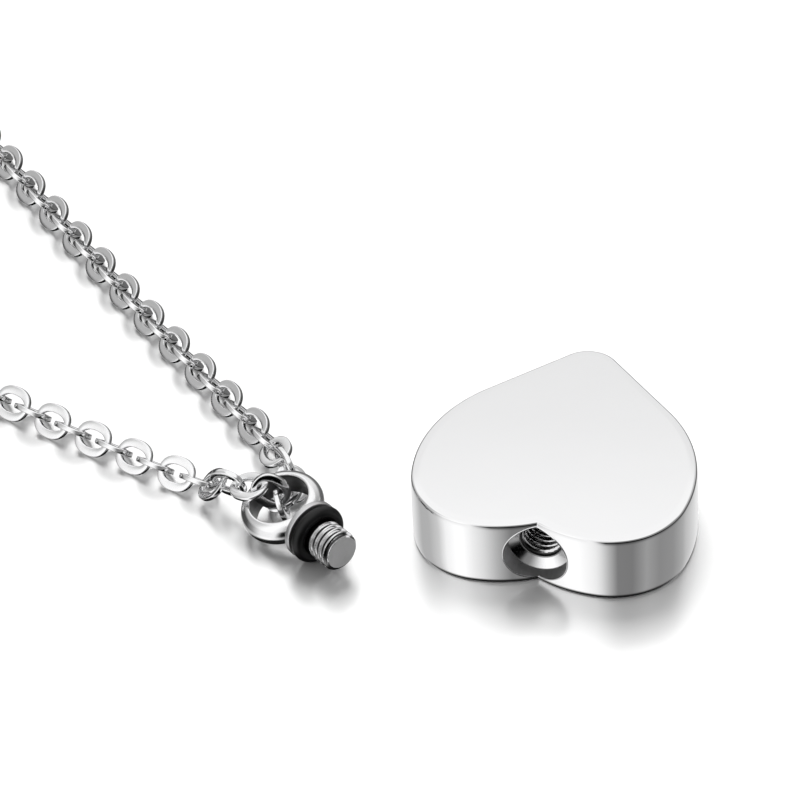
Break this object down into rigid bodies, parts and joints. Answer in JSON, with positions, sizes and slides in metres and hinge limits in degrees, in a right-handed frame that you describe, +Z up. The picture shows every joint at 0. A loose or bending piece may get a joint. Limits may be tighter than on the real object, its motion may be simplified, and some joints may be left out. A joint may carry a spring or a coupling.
{
  "type": "keepsake urn necklace",
  "caption": "Heart-shaped steel keepsake urn with a threaded mouth, its screw bail and rubber ring laid beside it, and a loop of flat oval link chain through the bail.",
  "frame": {"origin": "centre of the heart's outline on its flat underside, which rests on z = 0", "axes": "+Z up out of the heart's upper face, -Y out of the mouth in its cleft, +Y towards its tip, +X to the right seen with the tip up"},
  "size_m": [0.1974, 0.1328, 0.0054],
  "materials": {
    "heart_steel": "polished stainless steel",
    "bail_steel": "polished stainless steel",
    "chain_steel": "polished stainless steel",
    "rubber": "smooth black rubber"
  },
  "bodies": {
    "root": {"heart_body": "heart_steel", "screw_bail": "bail_steel", "rubber_ring": "rubber", "chain": "chain_steel", "clasp": "chain_steel"}
  },
  "joints": []
}
